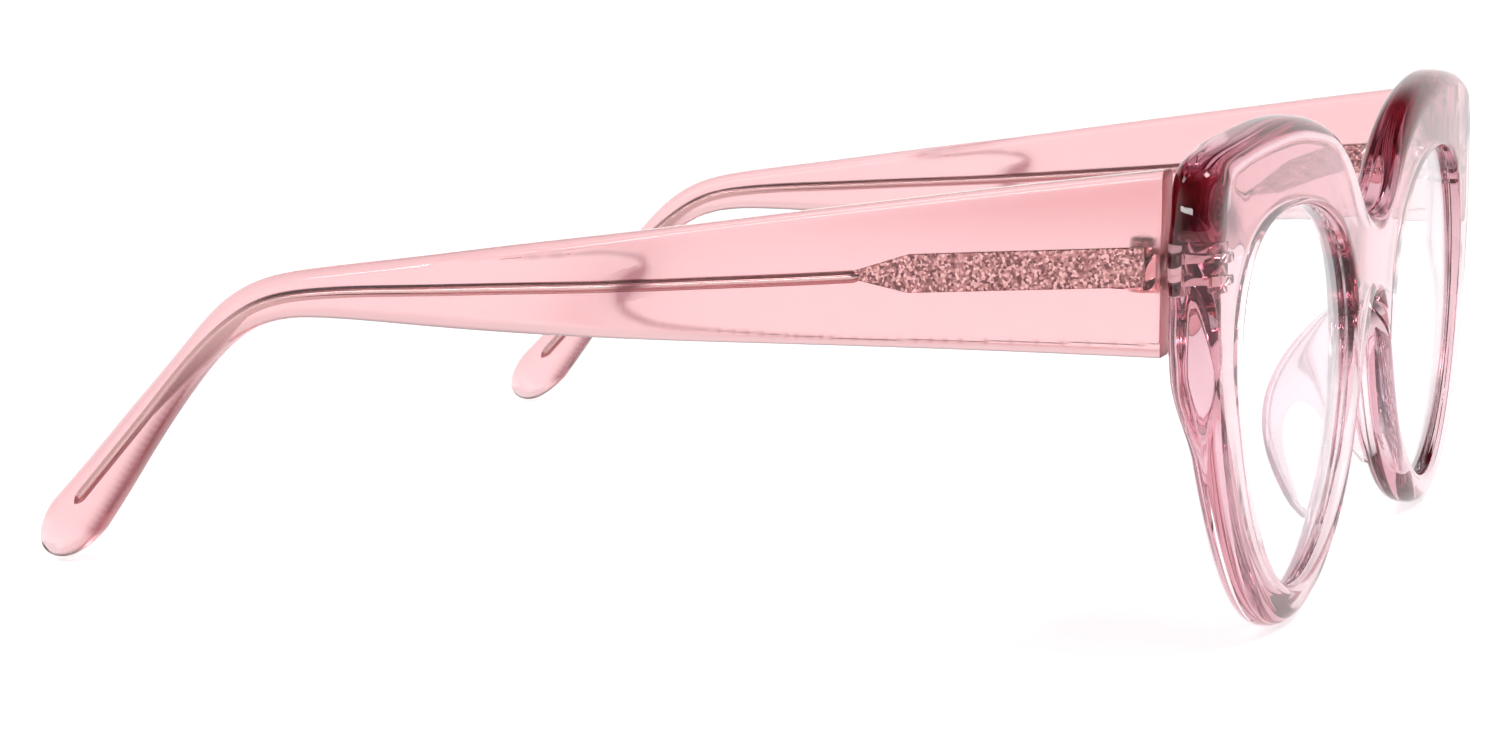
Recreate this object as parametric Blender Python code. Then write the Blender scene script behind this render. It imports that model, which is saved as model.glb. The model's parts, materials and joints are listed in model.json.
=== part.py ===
"""Acetate eyeglasses with wire-core temples, three-barrel hinges and clear lenses.

Metres, +Z up.  +X is the wearer's left, the front looks along -Y and the temples run
back along +Y.  The glasses stand on the rims' lowest points and the temple tips, z = 0.
"""
import math

import bmesh
import bpy
import numpy as np
from mathutils import Matrix, Vector

MM = 0.001
SIDES = {"right": -1.0, "left": 1.0}

# ---- driving dimensions, millimetres, measured from the front's datum plane -------------
DATUM_Y = -67.65             # puts the origin midway between the front and the tips
GAP = 0.3                    # between pieces that touch
LENS_MIDDLE = (33.0, 24.0)   # x, z of one lens's middle

# One half of the front's outline from the bridge top round to the nose arch:
# x, z and the radius of the front edge there.
FRONT_OUTLINE = (
    (0.0, 39.8, 2.0), (5.2, 41.5, 2.2), (12.6, 47.2, 2.4), (22.0, 51.5, 2.5),
    (30.6, 53.1, 2.6), (38.0, 53.7, 2.6), (46.0, 53.6, 2.6), (54.6, 52.9, 2.4),
    (61.6, 51.9, 2.1), (65.6, 50.2, 1.8), (67.2, 46.6, 1.4), (67.4, 41.0, 1.3),
    (67.2, 34.6, 1.4), (65.0, 25.4, 1.8), (60.6, 15.4, 2.1), (53.4, 6.6, 2.2),
    (44.6, 1.4, 2.2), (35.8, 0.0, 2.1), (26.4, 1.6, 2.1), (18.0, 6.2, 1.9),
    (11.8, 13.0, 1.6), (7.9, 20.2, 1.5), (4.5, 26.6, 1.5), (0.0, 30.1, 1.8))
REAR_EDGE_RADIUS = 1.7
BRIDGE_EXTRA = 0.25          # added depth behind the bridge
END_PIECE_REAR = 3.8         # y of the flat behind each end piece
LENS_OPENING = (
    (56.0, 24.5), (57.2, 31.4), (55.9, 37.4), (51.6, 41.8), (45.6, 43.8),
    (39.2, 44.3), (31.8, 43.9), (24.6, 42.4), (18.0, 39.2), (12.9, 34.2),
    (10.6, 27.6), (11.0, 20.4), (14.2, 14.0), (19.2, 9.3), (25.0, 6.0),
    (31.2, 4.1), (37.8, 4.2), (44.0, 6.9), (49.4, 11.6), (53.6, 18.0))
OPENING_EDGE_RADIUS = 0.7
GROOVE_DEPTH = 0.8
GROOVE_HALF_WIDTH = 1.1

LENS_THICKNESS = 1.9
LENS_CURVE_RADIUS = 265.0
LENS_BEVEL = 0.35            # how far the lens's edge stands into the groove

PAD_LOW, PAD_HIGH = 7.6, 29.6
PAD_REACH = 6.2              # how far a pad stands behind the rim
PAD_HALF_THICKNESS = 1.7
PAD_TIP_HALF = 0.35          # half thickness and reach at a pad's two ends
PAD_SEAT = 0.38              # how far across the rim a pad's middle sits
PAD_LEAN = 24.0              # degrees a pad leans outward as it runs back

# Temple outline, (y, z): top edge and bottom edge at matching stations.
TEMPLE_TOP = (
    (4.1, 50.3), (18.0, 48.3), (31.8, 46.2), (46.0, 44.0), (60.0, 41.8), (76.8, 39.3),
    (89.1, 37.4), (101.0, 35.6), (107.4, 34.1), (112.4, 31.4), (117.0, 27.0),
    (120.8, 23.0), (124.8, 18.9), (129.0, 14.5), (132.6, 10.8), (136.2, 7.2))
TEMPLE_BOTTOM = (
    (4.1, 32.1), (18.0, 31.8), (31.8, 31.4), (46.0, 30.9), (60.0, 30.4), (76.3, 30.1),
    (88.0, 30.2), (98.6, 30.3), (104.6, 29.8), (109.3, 28.2), (113.4, 25.3),
    (117.0, 21.5), (120.4, 17.3), (123.8, 12.7), (127.0, 8.2), (130.2, 3.9))
TEMPLE_CENTRE_X = 65.1
TOE_IN = 2.35                # degrees the open temples converge
TEMPLE_THICKNESS = 3.8
TEMPLE_TIP_LENGTH = 6.5      # rounded end beyond the last station

# Core wire, (y, z) along its axis, and the flat shield at its front end.
CORE_PATH = (
    (36.9, 38.2), (44.0, 37.5), (52.8, 36.7), (64.0, 35.7), (76.3, 34.8), (88.6, 33.9),
    (101.2, 32.8), (107.6, 31.3), (112.2, 28.6), (116.8, 24.6), (122.6, 18.4),
    (128.0, 12.6), (132.6, 7.7))
CORE_RADIUS = 0.62
SHIELD_FRONT = (4.4, 40.95)
SHIELD_BACK = (30.6, 38.9)
SHIELD_HALF_HEIGHT = 1.95
SHIELD_HALF_THICKNESS = 0.35

HINGE_X, HINGE_Y, HINGE_Z = 61.7, 7.0, 40.3
KNUCKLE_RADIUS = 1.3
KNUCKLE_HEIGHT = 1.4
KNUCKLE_GAP = 0.1
SCREW_RADIUS = 0.6
SCREW_FIT = 0.05
HEAD_RADIUS = 1.25
HEAD_HEIGHT = 0.9
LEAF_PLATE = (59.6, 64.2, 38.0, 43.0)   # x from, x to, z from, z to
LEAF_THICKNESS = 0.8
LEAF_FRONT_Y = 2.5                      # the plate's front face
TANG_LENGTH = 3.6
TANG_SPACING = 2.2
TANG_BARBS = 3
TANG_ROOT = 0.2                         # how deep a tang starts inside the plate
TANG_X = 61.4
TANG_HALF = (1.0, 0.5)                  # half width in x, half height in z
ARM_HALF = 0.9                          # half width of a knuckle's arm
INNER_PLATE_X = (63.75, 64.35)          # plate inside the temple
INNER_PLATE_Y = (5.0, 12.5)
INNER_PLATE_HALF_HEIGHT = 1.8
ROUND_SIDES = 24


def clear_scene():
    for item in list(bpy.data.objects):
        bpy.data.objects.remove(item, do_unlink=True)


def make_material(name, colour, roughness, metallic=0.0, transmission=0.0):
    material = bpy.data.materials.new(name)
    material.use_nodes = True
    shader = material.node_tree.nodes["Principled BSDF"]
    shader.inputs["Base Color"].default_value = (*colour, 1.0)
    shader.inputs["Roughness"].default_value = roughness
    shader.inputs["Metallic"].default_value = metallic
    shader.inputs["Transmission Weight"].default_value = transmission
    return material


def place(x, y, z):
    """A point given in millimetres from the datum plane, as metres in the part's frame."""
    return Vector((x * MM, (y + DATUM_Y) * MM, z * MM))


def add_object(name, mesh_data, material, smooth_angle=35.0):
    """Put a bmesh in the scene as one object with outward faces."""
    bmesh.ops.remove_doubles(mesh_data, verts=mesh_data.verts, dist=1e-7)
    bmesh.ops.recalc_face_normals(mesh_data, faces=mesh_data.faces)
    mesh = bpy.data.meshes.new(name)
    mesh_data.to_mesh(mesh)
    mesh_data.free()
    mesh.shade_smooth()
    mesh.set_sharp_from_angle(angle=math.radians(smooth_angle))
    item = bpy.data.objects.new(name, mesh)
    bpy.context.scene.collection.objects.link(item)
    if material is not None:
        mesh.materials.append(material)
    return item


def hide_cutter(cutter):
    cutter.hide_render = True
    cutter.display_type = "WIRE"


def cut(target, cutter):
    """Cut a solid away with the exact solver."""
    modifier = target.modifiers.new("cut_" + cutter.name, "BOOLEAN")
    modifier.operation = "DIFFERENCE"
    modifier.solver = "EXACT"
    modifier.object = cutter
    hide_cutter(cutter)


# ---- curves -----------------------------------------------------------------------------
def closed_spline(points, per_span):
    """Sample a closed cubic spline with continuous curvature through points."""
    nodes = np.array(points, float)
    count = len(nodes)
    span = np.linalg.norm((np.roll(nodes, -1, 0) - nodes)[:, :2], axis=1)
    before = np.roll(span, 1)
    system = np.zeros((count, count))
    for i in range(count):
        system[i, (i - 1) % count] += before[i]
        system[i, i] += 2.0 * (before[i] + span[i])
        system[i, (i + 1) % count] += span[i]
    rise = (np.roll(nodes, -1, 0) - nodes) / span[:, None]
    bend = np.linalg.solve(system, 6.0 * (rise - np.roll(rise, 1, 0)))
    return spline_samples(nodes, np.roll(nodes, -1, 0), bend, np.roll(bend, -1, 0), span, per_span)


def open_spline(points, per_span):
    """Sample a natural cubic spline through points, the last point included."""
    nodes = np.array(points, float)
    count = len(nodes)
    span = np.linalg.norm(np.diff(nodes, axis=0)[:, :2], axis=1)
    system = np.eye(count)
    rise = np.diff(nodes, axis=0) / span[:, None]
    load = np.zeros_like(nodes)
    for i in range(1, count - 1):
        system[i, i - 1:i + 2] = (span[i - 1], 2.0 * (span[i - 1] + span[i]), span[i])
        load[i] = 6.0 * (rise[i] - rise[i - 1])
    bend = np.linalg.solve(system, load)
    samples = spline_samples(nodes[:-1], nodes[1:], bend[:-1], bend[1:], span, per_span)
    return np.vstack([samples, nodes[-1]])


def spline_samples(start, end, bend_start, bend_end, span, per_span):
    rows = []
    for i in range(len(start)):
        for step in range(per_span):
            right = step / per_span
            left = 1.0 - right
            curve = (left ** 3 - left) * bend_start[i] + (right ** 3 - right) * bend_end[i]
            rows.append(left * start[i] + right * end[i] + curve * span[i] ** 2 / 6.0)
    return np.array(rows)


def outward_normals(loop, sign):
    """Unit normals of a closed (x, z) loop."""
    along = np.roll(loop[:, :2], -1, 0) - np.roll(loop[:, :2], 1, 0)
    along /= np.linalg.norm(along, axis=1)[:, None]
    return np.stack([-sign * along[:, 1], sign * along[:, 0]], axis=1)


# ---- surfaces of the front --------------------------------------------------------------
def front_face_y(x, z):
    return -3.34 + 0.27 * (z - 27.0) / 27.0 + 0.67 * (x / 40.0) ** 2


def ease(value, start, end):
    """Rises smoothly from 0 at start to 1 at end."""
    t = min(max((value - start) / (end - start), 0.0), 1.0)
    return t * t * (3.0 - 2.0 * t)


def rear_face_y(x, z):
    """Rear face: thicker at the bridge, and flat where a temple butts against it."""
    height = (z - 27.0) / 27.0
    open_face = 1.4 + 0.02 * height + (0.4 + 0.72 * height) * (x / 40.0) ** 2
    open_face += BRIDGE_EXTRA * math.exp(-(x / 14.0) ** 2) * ease(z, 16.0, 32.0)
    end_piece = ease(x, 53.0, 61.0) * ease(z, 22.0, 31.0)
    return open_face + (END_PIECE_REAR - open_face) * end_piece


def lens_middle_y(x, z):
    """The lens's middle surface: a shallow sphere turned a little with the front's wrap."""
    dx = x - LENS_MIDDLE[0]
    dz = z - LENS_MIDDLE[1]
    sag = (dx * dx + dz * dz) / (2.0 * LENS_CURVE_RADIUS)
    return -1.6 + 0.022 * dx + 0.008 * dz + sag


def strip(mesh_data, rows, closed=False):
    """Join rows of points, each of the same length, with quads."""
    verts = [[mesh_data.verts.new(point) for point in row] for row in rows]
    count = len(verts)
    for i in range(count if closed else count - 1):
        near = verts[i]
        far = verts[(i + 1) % count]
        for j in range(len(near) - 1):
            mesh_data.faces.new((near[j], near[j + 1], far[j + 1], far[j]))
    return verts


def opening_by_angle(offset):
    """Lens opening grown by offset, as a function of the angle about the lens's middle."""
    loop = closed_spline(LENS_OPENING, 24)
    grown = loop + offset * outward_normals(loop, -1.0)
    angles = np.unwrap(np.arctan2(grown[:, 1] - LENS_MIDDLE[1], grown[:, 0] - LENS_MIDDLE[0]))
    reach = np.hypot(grown[:, 1] - LENS_MIDDLE[1], grown[:, 0] - LENS_MIDDLE[0])
    angles = np.concatenate([angles - math.tau, angles, angles + math.tau])
    reach = np.tile(reach, 3)

    def point(angle):
        distance = np.interp(angle, angles, reach)
        return (LENS_MIDDLE[0] + distance * math.cos(angle),
                LENS_MIDDLE[1] + distance * math.sin(angle))
    return point


def half_outline(per_span):
    """Points, outward normals and front radii of the outline's half at x >= 0."""
    mirrored = [(-x, z, r) for x, z, r in FRONT_OUTLINE[-2:0:-1]]
    loop = closed_spline(list(FRONT_OUTLINE) + mirrored, per_span)
    normals = outward_normals(loop, 1.0)
    last = (len(FRONT_OUTLINE) - 1) * per_span
    half = loop[:last + 1].copy()
    half_normals = normals[:last + 1].copy()
    for end in (0, last):
        half[end, 0] = 0.0
        half_normals[end] = (0.0, 1.0 if end == 0 else -1.0)
    return half, half_normals


def front_half(per_span=3, arc_steps=3, face_steps=2, bridge_steps=3):
    """Mesh of the front's half: faces, rounded edges and the lens groove."""
    outline, normals = half_outline(per_span)
    radii = outline[:, 2]
    outer_front = outline[:, :2] - normals * radii[:, None]
    outer_rear = outline[:, :2] - normals * REAR_EDGE_RADIUS
    bridge = np.linspace(1.0, 0.0, bridge_steps + 1)[1:-1][::-1]
    seam_front = [outer_front[-1] + (outer_front[0] - outer_front[-1]) * t for t in bridge]
    seam_rear = [outer_rear[-1] + (outer_rear[0] - outer_rear[-1]) * t for t in bridge]
    front_rim = list(outer_front) + seam_front
    rear_rim = list(outer_rear) + seam_rear
    wall = opening_by_angle(0.0)
    edge = opening_by_angle(OPENING_EDGE_RADIUS)
    groove = opening_by_angle(GROOVE_DEPTH)
    mesh_data = bmesh.new()
    front_rows, rear_rows, inner_rows = [], [], []
    for front_point, rear_point in zip(front_rim, rear_rim):
        angle = math.atan2(front_point[1] - LENS_MIDDLE[1], front_point[0] - LENS_MIDDLE[0])
        at_wall, at_edge, at_groove = wall(angle), edge(angle), groove(angle)
        front_rows.append(face_row(at_edge, front_point, front_face_y, face_steps))
        rear_rows.append(face_row(at_edge, rear_point, rear_face_y, face_steps))
        inner_rows.append(opening_row(at_wall, at_edge, at_groove))
    strip(mesh_data, front_rows, closed=True)
    strip(mesh_data, rear_rows, closed=True)
    strip(mesh_data, inner_rows, closed=True)
    edge_rows = [edge_row(outline[i], normals[i], arc_steps) for i in range(len(outline))]
    strip(mesh_data, edge_rows)
    return mesh_data


def face_row(inner, outer, surface, steps):
    row = []
    for t in np.linspace(0.0, 1.0, steps + 1):
        x = inner[0] + (outer[0] - inner[0]) * t
        z = inner[1] + (outer[1] - inner[1]) * t
        row.append(place(x, surface(x, z), z))
    return row


def opening_row(wall, edge, groove):
    """Section of the opening's wall: rounded edge, V groove, rounded edge."""
    radius = OPENING_EDGE_RADIUS
    corner = 1.0 - math.sqrt(0.5)
    mid_x = edge[0] + (wall[0] - edge[0]) * (1.0 - corner)
    mid_z = edge[1] + (wall[1] - edge[1]) * (1.0 - corner)
    front_y = front_face_y(*edge)
    rear_y = rear_face_y(*edge)
    lens_y = lens_middle_y(*wall)
    return [place(edge[0], front_y, edge[1]),
            place(mid_x, front_y + radius * corner, mid_z),
            place(wall[0], front_y + radius, wall[1]),
            place(wall[0], lens_y - GROOVE_HALF_WIDTH, wall[1]),
            place(groove[0], lens_y, groove[1]),
            place(wall[0], lens_y + GROOVE_HALF_WIDTH, wall[1]),
            place(mid_x, rear_y - radius * corner, mid_z),
            place(edge[0], rear_y, edge[1])]


def edge_row(point, normal, steps):
    """Section of the outer edge: front rounding, wall, rear rounding."""
    x, z, radius = point
    row = []
    for centre_radius, surface, sign in ((radius, front_face_y, 1.0),
                                         (REAR_EDGE_RADIUS, rear_face_y, -1.0)):
        centre_x = x - normal[0] * centre_radius
        centre_z = z - normal[1] * centre_radius
        face_y = surface(centre_x, centre_z)
        arc = []
        for turn in np.linspace(0.0, math.pi / 2.0, steps + 1):
            out = centre_radius * math.sin(turn)
            deep = centre_radius * (1.0 - math.cos(turn))
            arc.append(place(centre_x + normal[0] * out, face_y + sign * deep,
                             centre_z + normal[1] * out))
        row += arc if sign > 0.0 else arc[::-1]
    return row


def loft(mesh_data, sections):
    """Closed solid through rings of equal length, its ends capped."""
    rings = [[mesh_data.verts.new(point) for point in ring] for ring in sections]
    count = len(rings[0])
    for near, far in zip(rings, rings[1:]):
        for j in range(count):
            k = (j + 1) % count
            mesh_data.faces.new((near[j], near[k], far[k], far[j]))
    mesh_data.faces.new(rings[0])
    mesh_data.faces.new(rings[-1][::-1])


# ---- temple -----------------------------------------------------------------------------
def rounded_section(side, top, bottom, centre_x, half_thickness, radius, steps=2):
    """Rounded rectangle between a top and a bottom point, thick along X."""
    middle = ((top[0] + bottom[0]) / 2.0, (top[1] + bottom[1]) / 2.0)
    half_height = math.hypot(top[0] - bottom[0], top[1] - bottom[1]) / 2.0
    up = ((top[0] - middle[0]) / half_height, (top[1] - middle[1]) / half_height)
    radius = min(radius, half_thickness * 0.98, half_height * 0.98)
    ring = []
    for corner, (sign_x, sign_up) in enumerate(((1, 1), (-1, 1), (-1, -1), (1, -1))):
        for step in range(steps + 1):
            angle = math.pi / 2.0 * (corner + step / steps)
            across = sign_x * (half_thickness - radius) + radius * math.cos(angle)
            rise = sign_up * (half_height - radius) + radius * math.sin(angle)
            ring.append(place(side * (centre_x + across), middle[0] + up[0] * rise,
                              middle[1] + up[1] * rise))
    return ring


def mitre_end(ring, side):
    """Slant the temple's front end so that it lies parallel to the end piece."""
    slope = math.tan(math.radians(TOE_IN))
    for point in ring:
        point.y -= slope * (side * point.x - HINGE_X * MM)


def temple_sections(side, per_span=2):
    top = open_spline(TEMPLE_TOP, per_span)
    bottom = open_spline(TEMPLE_BOTTOM, per_span)
    half = TEMPLE_THICKNESS / 2.0
    sections = []
    for i, (high, low) in enumerate(zip(top, bottom)):
        middle_y = (high[0] + low[0]) / 2.0
        softness = min(max((middle_y - 50.0) / 30.0, 0.0), 1.0)
        radius = 0.8 + 1.0 * softness
        sections.append(rounded_section(side, high, low, TEMPLE_CENTRE_X, half, radius))
    mitre_end(sections[0], side)
    ahead = (top[-1] + bottom[-1]) / 2.0 - (top[-2] + bottom[-2]) / 2.0
    ahead /= np.linalg.norm(ahead)
    middle = (top[-1] + bottom[-1]) / 2.0
    half_span = (top[-1] - bottom[-1]) / 2.0
    for turn in (20.0, 40.0, 58.0, 74.0, 86.0):
        angle = math.radians(turn)
        narrow = math.cos(angle) ** 0.75
        centre = middle + ahead * TEMPLE_TIP_LENGTH * math.sin(angle)
        thin = half * math.cos(angle) ** 0.5
        sections.append(rounded_section(side, centre + half_span * narrow,
                                        centre - half_span * narrow,
                                        TEMPLE_CENTRE_X, thin, thin))
    return sections


def make_temple(name, side, material):
    mesh_data = bmesh.new()
    loft(mesh_data, temple_sections(side))
    return add_object(name, mesh_data, material)


# ---- core wire with its shield -----------------------------------------------------------
def core_sections(side, grow, front_y, per_span=2):
    """Rings of the flat shield, its taper and the wire, each grown by a margin."""
    slope = (SHIELD_BACK[1] - SHIELD_FRONT[1]) / (SHIELD_BACK[0] - SHIELD_FRONT[0])
    rings = []
    half_height = SHIELD_HALF_HEIGHT + grow
    half_thickness = SHIELD_HALF_THICKNESS + grow
    for y in (front_y, (SHIELD_FRONT[0] + SHIELD_BACK[0]) / 2.0, SHIELD_BACK[0]):
        z = SHIELD_FRONT[1] + slope * (y - SHIELD_FRONT[0])
        rings.append(rounded_section(side, (y, z + half_height), (y, z - half_height),
                                     TEMPLE_CENTRE_X, half_thickness, 0.2 + grow / 2.0, 1))
    path = open_spline(CORE_PATH, per_span)
    round_half = CORE_RADIUS + grow
    for i, (y, z) in enumerate(path):
        before = path[max(i - 1, 0)]
        after = path[min(i + 1, len(path) - 1)]
        along = (after - before) / np.linalg.norm(after - before)
        up = np.array((-along[1], along[0])) * round_half
        rings.append(rounded_section(side, (y + up[0], z + up[1]), (y - up[0], z - up[1]),
                                     TEMPLE_CENTRE_X, round_half, round_half * 0.7, 1))
    tip = path[-1] + along * (1.2 + grow)
    up *= 0.35
    rings.append(rounded_section(side, tip + up, tip - up, TEMPLE_CENTRE_X,
                                 round_half * 0.35, round_half * 0.2, 1))
    return rings


def make_core(name, side, material, grow=0.0, front_y=SHIELD_FRONT[0]):
    mesh_data = bmesh.new()
    loft(mesh_data, core_sections(side, grow, front_y))
    return add_object(name, mesh_data, material)


# ---- hinge -------------------------------------------------------------------------------
def add_box(mesh_data, side, x_range, y_range, z_range):
    low = place(side * x_range[0], y_range[0], z_range[0])
    high = place(side * x_range[1], y_range[1], z_range[1])
    size = high - low
    size.x = abs(size.x)
    matrix = Matrix.Translation((low + high) / 2.0) @ Matrix.Diagonal((*size, 1.0))
    bmesh.ops.create_cube(mesh_data, size=1.0, matrix=matrix)


def knuckle_level(index):
    """Lowest z of knuckle 0, 1 or 2, counted upwards."""
    pitch = KNUCKLE_HEIGHT + KNUCKLE_GAP
    return HINGE_Z - KNUCKLE_HEIGHT / 2.0 + (index - 1) * pitch


def knuckle_outline(side, arm_end, toward):
    """Plan view of a knuckle: a round barrel with an arm that runs to arm_end."""
    start = math.asin(ARM_HALF / KNUCKLE_RADIUS)
    points = []
    steps = ROUND_SIDES - 4
    for i in range(steps + 1):
        angle = start + (math.tau - 2.0 * start) * i / steps
        along = KNUCKLE_RADIUS * math.cos(angle)
        across = KNUCKLE_RADIUS * math.sin(angle)
        points.append((along, across))
    points += [(arm_end, -ARM_HALF), (arm_end, ARM_HALF)]
    return [(side * (HINGE_X + toward[0] * a - toward[1] * c),
             HINGE_Y + toward[1] * a + toward[0] * c) for a, c in points]


def add_knuckle(mesh_data, side, index, arm_end, toward):
    low = knuckle_level(index)
    outline = knuckle_outline(side, arm_end, toward)
    rings = [[place(x, y, z) for x, y in outline] for z in (low, low + KNUCKLE_HEIGHT)]
    loft(mesh_data, rings)


def make_cylinder(name, side, radius, z_low, z_high, material=None):
    mesh_data = bmesh.new()
    rings = []
    for z in (z_low, z_high):
        ring = []
        for i in range(ROUND_SIDES):
            angle = math.tau * i / ROUND_SIDES
            ring.append(place(side * HINGE_X + radius * math.cos(angle),
                              HINGE_Y + radius * math.sin(angle), z))
        rings.append(ring)
    loft(mesh_data, rings)
    return add_object(name, mesh_data, material)


def unite(name, pieces, material):
    """Union of overlapping solids in one object."""
    base = pieces[0]
    base.name = name
    base.data.name = name
    base.data.materials.append(material)
    for piece in pieces[1:]:
        modifier = base.modifiers.new("join_" + piece.name, "BOOLEAN")
        modifier.operation = "UNION"
        modifier.solver = "EXACT"
        modifier.object = piece
        hide_cutter(piece)
    return base


def box_object(name, side, x_range, y_range, z_range):
    mesh_data = bmesh.new()
    add_box(mesh_data, side, x_range, y_range, z_range)
    return add_object(name, mesh_data, None)


def tang_object(name, side, z, grow):
    """A barbed peg that runs forward from the leaf's plate into the end piece."""
    x = TANG_X
    back = LEAF_FRONT_Y + TANG_ROOT
    pitch = (TANG_LENGTH + TANG_ROOT) / TANG_BARBS
    rings = []
    for barb in range(TANG_BARBS):
        start = back - barb * pitch
        for depth, slim in ((0.0, 0.75), (0.15, 1.0), (0.85, 0.72)):
            y = start - depth * pitch
            if grow > 0.0:
                slim = 1.0
            half_x = TANG_HALF[0] * slim + grow
            half_z = TANG_HALF[1] * slim + grow
            rings.append([place(side * x + half_x * cx, y, z + half_z * cz)
                          for cx, cz in ((1, 1), (-1, 1), (-1, -1), (1, -1))])
    end = 0.5 + grow
    y = back - TANG_LENGTH - TANG_ROOT - grow
    rings.append([place(side * x + end * cx, y, z + end * 0.6 * cz)
                  for cx, cz in ((1, 1), (-1, 1), (-1, -1), (1, -1))])
    mesh_data = bmesh.new()
    loft(mesh_data, rings)
    return add_object(name, mesh_data, None)


def make_front_leaf(word, side, material):
    """Plate let into the end piece, two barbed tangs in front, two knuckles behind."""
    front = LEAF_FRONT_Y
    plate = box_object("plate_" + word, side, LEAF_PLATE[:2],
                       (front, front + LEAF_THICKNESS), LEAF_PLATE[2:])
    middle = (LEAF_PLATE[2] + LEAF_PLATE[3]) / 2.0
    parts = [plate]
    for i, level in enumerate((-1.0, 1.0)):
        z = middle + level * TANG_SPACING / 2.0
        parts.append(tang_object("tang_%s_%d" % (word, i), side, z, 0.0))
    reach = HINGE_Y - front - LEAF_THICKNESS / 2.0
    for index in (0, 2):
        mesh_data = bmesh.new()
        add_knuckle(mesh_data, side, index, reach, (0.0, -1.0))
        parts.append(add_object("front_knuckle_%s_%d" % (word, index), mesh_data, None))
    leaf = unite("hinge_front_leaf_" + word, parts, material)
    top = knuckle_level(2) + KNUCKLE_HEIGHT
    bore = make_cylinder("front_bore_" + word, side, SCREW_RADIUS + SCREW_FIT,
                         knuckle_level(0) - 1.0, top + 1.0)
    cut(leaf, bore)
    return leaf


def make_temple_leaf(word, side, material):
    """Middle knuckle whose arm runs into the temple and ends in a flat plate."""
    plate = box_object("temple_plate_" + word, side, INNER_PLATE_X, INNER_PLATE_Y,
                       (HINGE_Z - INNER_PLATE_HALF_HEIGHT, HINGE_Z + INNER_PLATE_HALF_HEIGHT))
    mesh_data = bmesh.new()
    inside = sum(INNER_PLATE_X) / 2.0
    add_knuckle(mesh_data, side, 1, inside - HINGE_X, (1.0, 0.0))
    arm = add_object("temple_knuckle_" + word, mesh_data, None)
    leaf = unite("hinge_temple_leaf_" + word, [plate, arm], material)
    bore = make_cylinder("temple_bore_" + word, side, SCREW_RADIUS + SCREW_FIT,
                         knuckle_level(0), knuckle_level(2) + 1.0)
    cut(leaf, bore)
    return leaf


def make_screw(word, side, material):
    """Turned screw with a slotted head on top of the knuckles."""
    low = knuckle_level(0) + 0.1
    seat = knuckle_level(2) + KNUCKLE_HEIGHT + 0.05
    head_top = seat + HEAD_HEIGHT
    profile = ((0.0, low), (SCREW_RADIUS - 0.1, low), (SCREW_RADIUS, low + 0.1),
               (SCREW_RADIUS, seat), (HEAD_RADIUS, seat), (HEAD_RADIUS, head_top - 0.35),
               (HEAD_RADIUS - 0.12, head_top - 0.12), (HEAD_RADIUS - 0.4, head_top),
               (0.0, head_top))
    centre = place(side * HINGE_X, HINGE_Y, 0.0)
    mesh_data = bmesh.new()
    verts = [mesh_data.verts.new(centre + Vector((r * MM, 0.0, z * MM))) for r, z in profile]
    edges = [mesh_data.edges.new(pair) for pair in zip(verts, verts[1:])]
    bmesh.ops.spin(mesh_data, geom=verts + edges, cent=centre, axis=(0.0, 0.0, 1.0),
                   angle=math.tau, steps=ROUND_SIDES, use_merge=True)
    screw = add_object("hinge_screw_" + word, mesh_data, material)
    slot = box_object("slot_" + word, side, (HINGE_X - 2.0, HINGE_X + 2.0),
                      (HINGE_Y - 0.15, HINGE_Y + 0.15), (head_top - 0.4, head_top + 1.0))
    cut(screw, slot)
    return screw


def cut_front_pockets(front, word, side):
    """Recess for the leaf's plate and two sockets for its tangs."""
    face = LEAF_FRONT_Y
    pocket = box_object("leaf_pocket_" + word, side, (LEAF_PLATE[0] - GAP, LEAF_PLATE[1] + GAP),
                        (face - GAP, face + 6.0), (LEAF_PLATE[2] - GAP, LEAF_PLATE[3] + GAP))
    cut(front, pocket)
    middle = (LEAF_PLATE[2] + LEAF_PLATE[3]) / 2.0
    for i, level in enumerate((-1.0, 1.0)):
        z = middle + level * TANG_SPACING / 2.0
        cut(front, tang_object("tang_socket_%s_%d" % (word, i), side, z, GAP))


def cut_temple_pockets(temple, word, side):
    """Channel for the core wire and the pocket for the hinge leaf's plate and arm."""
    open_end = TEMPLE_TOP[0][0] - 2.0
    cut(temple, make_core("core_channel_" + word, side, None, GAP, open_end))
    slot_height = INNER_PLATE_HALF_HEIGHT + GAP
    cut(temple, box_object("leaf_slot_" + word, side,
                           (INNER_PLATE_X[0] - GAP, INNER_PLATE_X[1] + GAP),
                           (open_end, INNER_PLATE_Y[1] + GAP),
                           (HINGE_Z - slot_height, HINGE_Z + slot_height)))
    low = knuckle_level(1) - GAP
    cut(temple, box_object("arm_slot_" + word, side,
                           (HINGE_X + ARM_HALF, sum(INNER_PLATE_X) / 2.0),
                           (HINGE_Y - ARM_HALF - GAP, HINGE_Y + ARM_HALF + GAP),
                           (low, low + KNUCKLE_HEIGHT + 2.0 * GAP)))


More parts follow.
